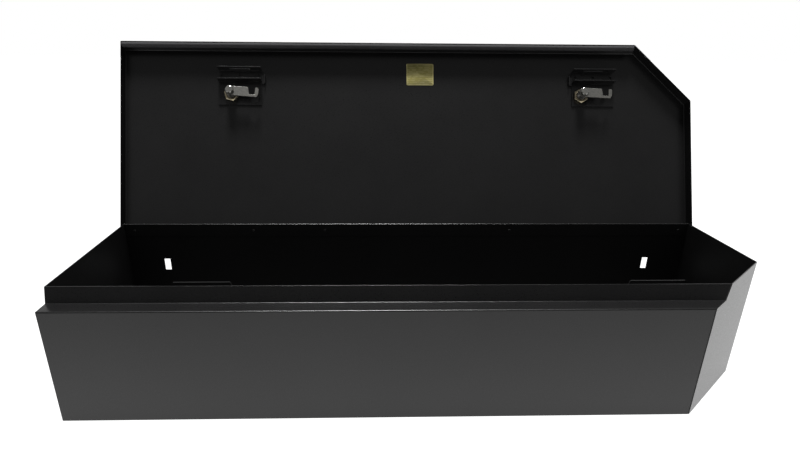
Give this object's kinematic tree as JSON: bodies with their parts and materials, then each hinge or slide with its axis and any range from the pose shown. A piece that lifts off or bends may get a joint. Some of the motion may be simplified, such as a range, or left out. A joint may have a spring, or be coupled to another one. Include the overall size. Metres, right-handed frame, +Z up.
{
  "type": "truck tool box",
  "caption": "Long low black steel truck-bed tool box with a clipped front corner, a rear-hinged lid standing open, and hook-cam key locks under guard brackets.",
  "frame": {"origin": "centre of the underside of the tub, on the surface it stands on, half way along its length and half way between its front and back faces", "axes": "+X along the length to the end with the clipped corner, +Y to the back, where the hinge is, +Z up"},
  "size_m": [1.2252, 0.5804, 0.5779],
  "materials": {
    "black_powder": "semi-gloss black powder coat with a fine orange-peel texture",
    "black_inside": "satin black powder coat",
    "zinc_steel": "bright zinc plate",
    "yellow_zinc": "pale yellow zinc plate",
    "pin_steel": "plain drawn steel",
    "label_film": "printed plastic film, satin"
  },
  "bodies": {
    "tub": {"front_panel": "black_powder", "floor_panel": "black_powder", "back_panel": "black_powder", "left_end_plate": "black_powder", "right_end_plate": "black_powder", "striker_left": "black_inside", "striker_right": "black_inside", "hinge_leaf_body": "black_powder", "hinge_pin": "pin_steel", "hinge_rivet_1": "zinc_steel", "hinge_rivet_2": "zinc_steel", "hinge_rivet_3": "zinc_steel", "hinge_rivet_4": "zinc_steel", "hinge_rivet_5": "zinc_steel"},
    "lid": {"lid_panel": "black_powder", "hinge_leaf_lid": "black_powder", "label_plate": "label_film", "lock_bracket_left": "black_inside", "lock_bracket_right": "black_inside", "lock_housing_left": "zinc_steel", "lock_housing_right": "zinc_steel", "lock_nut_left": "yellow_zinc", "lock_nut_right": "yellow_zinc"},
    "latch_left": {"lock_plug_left": "zinc_steel", "cam_left": "zinc_steel", "cam_washer_left": "zinc_steel", "cam_bolt_left": "zinc_steel"},
    "latch_right": {"lock_plug_right": "zinc_steel", "cam_right": "zinc_steel", "cam_washer_right": "zinc_steel", "cam_bolt_right": "zinc_steel"}
  },
  "joints": [
    {"name": "lid_hinge", "type": "hinge", "parent": "tub", "child": "lid", "pos_m": [0, 0.205, 0.2195], "axis": [1, 0, 0], "range_deg": [0, 116]},
    {"name": "lock_left_turn", "type": "hinge", "parent": "lid", "child": "latch_left", "pos_m": [-0.3833, 0.33635, 0.4733], "axis": [0, -0.8988, 0.4384], "range_deg": [0, 94.5]},
    {"name": "lock_right_turn", "type": "hinge", "parent": "lid", "child": "latch_right", "pos_m": [0.3782, 0.33635, 0.4733], "axis": [0, -0.8988, 0.4384], "range_deg": [0, 93]}
  ]
}
